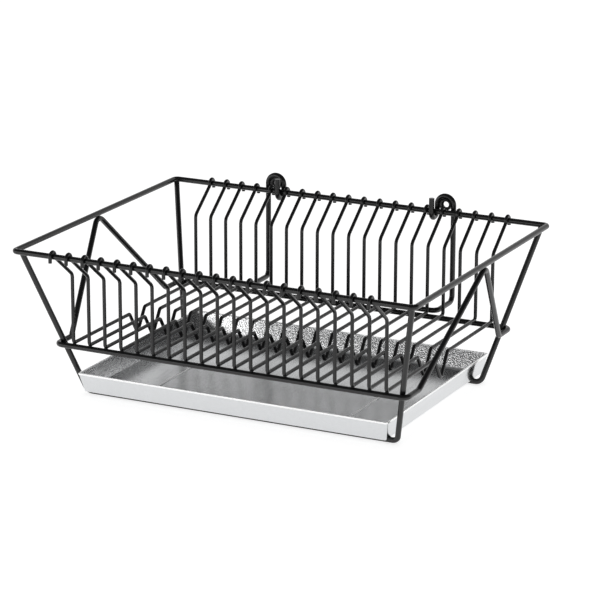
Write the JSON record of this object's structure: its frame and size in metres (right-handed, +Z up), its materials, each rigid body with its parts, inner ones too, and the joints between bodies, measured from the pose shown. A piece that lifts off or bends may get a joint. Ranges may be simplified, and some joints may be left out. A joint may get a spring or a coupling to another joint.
{
  "type": "dish drying rack",
  "caption": "Wire dish drying rack with notched plate slots, a hook-over wall bracket with screw eyes, and a metal drip tray that slides out between its legs.",
  "frame": {"origin": "on the floor, at the middle of the part's box", "axes": "+X along the long rim rails to the right, +Y to the back and the wall bracket, +Z up"},
  "size_m": [0.37, 0.2936, 0.1491],
  "materials": {
    "wire_coat": "black powder coating, semi-gloss, on steel wire",
    "disc_plastic": "black moulded, matt",
    "tray_metal": "galvanised sheet steel with a fine spangle"
  },
  "bodies": {
    "rack": {"top_rim": "wire_coat", "lower_frame": "wire_coat", "front_leg_wire": "wire_coat", "rear_leg_wire": "wire_coat", "plate_wire_01": "wire_coat", "plate_wire_02": "wire_coat", "plate_wire_03": "wire_coat", "plate_wire_04": "wire_coat", "plate_wire_05": "wire_coat", "plate_wire_06": "wire_coat", "plate_wire_07": "wire_coat", "plate_wire_08": "wire_coat", "plate_wire_09": "wire_coat", "plate_wire_10": "wire_coat", "plate_wire_11": "wire_coat", "plate_wire_12": "wire_coat", "plate_wire_13": "wire_coat", "plate_wire_14": "wire_coat", "plate_wire_15": "wire_coat", "plate_wire_16": "wire_coat", "plate_wire_17": "wire_coat", "plate_wire_18": "wire_coat", "plate_wire_19": "wire_coat", "plate_wire_20": "wire_coat"},
    "tray": {"drip_tray": "tray_metal"},
    "wall_bracket": {"bracket_wire": "wire_coat", "screw_disc_left": "disc_plastic", "screw_disc_right": "disc_plastic"}
  },
  "joints": [
    {"name": "tray_slide", "type": "slide", "parent": "rack", "child": "tray", "axis": [0, -1, 0], "range_m": [0, 0.19]},
    {"name": "bracket_swing", "type": "hinge", "parent": "rack", "child": "wall_bracket", "pos_m": [0, 0.13704, 0.134], "axis": [1, 0, 0], "range_deg": [0, 70]}
  ]
}
